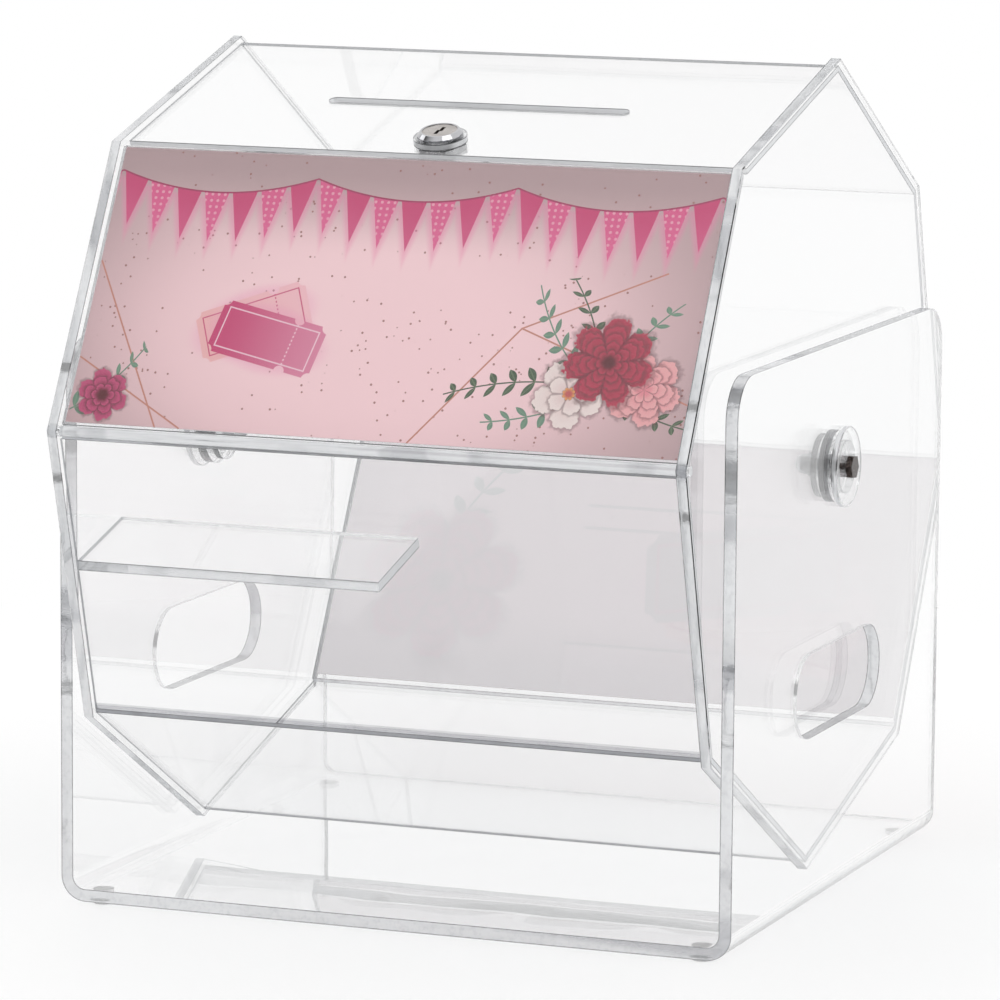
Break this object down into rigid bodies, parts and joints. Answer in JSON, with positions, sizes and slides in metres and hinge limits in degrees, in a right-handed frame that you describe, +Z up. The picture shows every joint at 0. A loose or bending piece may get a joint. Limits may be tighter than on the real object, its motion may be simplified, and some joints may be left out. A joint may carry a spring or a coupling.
{
  "type": "raffle drum",
  "caption": "Clear eight-sided raffle drum that spins on hubs in a bent sheet cradle, with a lockable door that holds a sign, a second sign at the back, a ticket slot and a mixing paddle.",
  "frame": {"origin": "on the floor under the middle of the axle", "axes": "+X along the axle towards the right side plate, +Y towards the back, +Z up; the door faces -Y"},
  "size_m": [0.3446, 0.3774, 0.396],
  "materials": {
    "cradle_acrylic": "clear cast acrylic sheet with flame-polished edges",
    "end_acrylic": "clear cast acrylic sheet with polished edges",
    "wall_acrylic": "clear cast acrylic sheet, glued",
    "door_acrylic": "clear cast acrylic sheet",
    "cover_acrylic": "thin clear acrylic sheet",
    "rod_acrylic": "clear acrylic rod",
    "hub_acrylic": "clear acrylic, polished rims",
    "lock_ring_acrylic": "clear grey acrylic ring",
    "bumper": "clear soft self-adhesive bumper",
    "lock_chrome": "polished chrome plate",
    "lock_plug_steel": "brushed plug face",
    "lock_nut_steel": "zinc-plated steel",
    "lock_cam_steel": "pressed zinc-plated steel",
    "black_steel": "black-oxide bolt, polished facets",
    "cap_nut_steel": "bright plated domed nut",
    "printed_card": "printed card with a pink flower pattern"
  },
  "bodies": {
    "stand": {"cradle": "cradle_acrylic", "foot_front_left": "bumper", "foot_front_right": "bumper", "foot_rear_left": "bumper", "foot_rear_right": "bumper"},
    "drum": {"end_plate_left": "end_acrylic", "end_plate_right": "end_acrylic", "roof_panel_front": "wall_acrylic", "roof_panel_rear": "wall_acrylic", "rear_panel_upper": "wall_acrylic", "rear_panel_lower": "wall_acrylic", "bottom_panel_rear": "wall_acrylic", "bottom_panel_front": "wall_acrylic", "front_panel_lower": "wall_acrylic", "mixing_paddle": "wall_acrylic", "hub_disc_left": "hub_acrylic", "hub_disc_right": "hub_acrylic", "hub_stub_left": "hub_acrylic", "hub_stub_right": "hub_acrylic", "inner_disc_left": "hub_acrylic", "inner_disc_right": "hub_acrylic", "hub_bolt_left": "black_steel", "hub_bolt_right": "black_steel", "cap_nut_left": "cap_nut_steel", "cap_nut_right": "cap_nut_steel", "lock_spacer_ring": "lock_ring_acrylic", "lock_body": "lock_chrome", "lock_nut": "lock_nut_steel", "rear_pocket_rim": "wall_acrylic", "rear_sign_cover": "cover_acrylic"},
    "door": {"door_panel": "door_acrylic", "door_hinge_rod": "rod_acrylic", "sign_pocket_rim": "door_acrylic", "sign_cover": "cover_acrylic", "lock_tab": "door_acrylic"},
    "card": {"sign_card": "printed_card"},
    "rear_card": {"rear_sign_card": "printed_card"},
    "lock_core": {"lock_plug": "lock_plug_steel", "lock_cam": "lock_cam_steel", "cam_screw": "lock_nut_steel"},
    "ring_left": {"spacer_ring_left": "hub_acrylic"},
    "ring_right": {"spacer_ring_right": "hub_acrylic"}
  },
  "joints": [
    {"name": "drum_spin", "type": "hinge", "parent": "stand", "child": "drum", "pos_m": [0, 0, 0.2073], "axis": [1, 0, 0], "continuous": true},
    {"name": "door_hinge", "type": "hinge", "parent": "drum", "child": "door", "pos_m": [0, -0.18275, 0.22909], "axis": [1, 0, 0], "range_deg": [0, 140]},
    {"name": "card_slide", "type": "slide", "parent": "door", "child": "card", "axis": [0, 0.4894, 0.8721], "range_m": [0, 0.137]},
    {"name": "rear_card_slide", "type": "slide", "parent": "drum", "child": "rear_card", "axis": [0, 0.4894, 0.8721], "range_m": [0, 0.137]},
    {"name": "lock_turn", "type": "hinge", "parent": "drum", "child": "lock_core", "pos_m": [0, -0.09287, 0.36042], "axis": [0, -0.2706, 0.9627], "range_deg": [0, 90]},
    {"name": "ring_left_spin", "type": "hinge", "parent": "stand", "child": "ring_left", "pos_m": [0, 0, 0.2073], "axis": [1, 0, 0], "continuous": true},
    {"name": "ring_right_spin", "type": "hinge", "parent": "stand", "child": "ring_right", "pos_m": [0, 0, 0.2073], "axis": [1, 0, 0], "continuous": true}
  ]
}
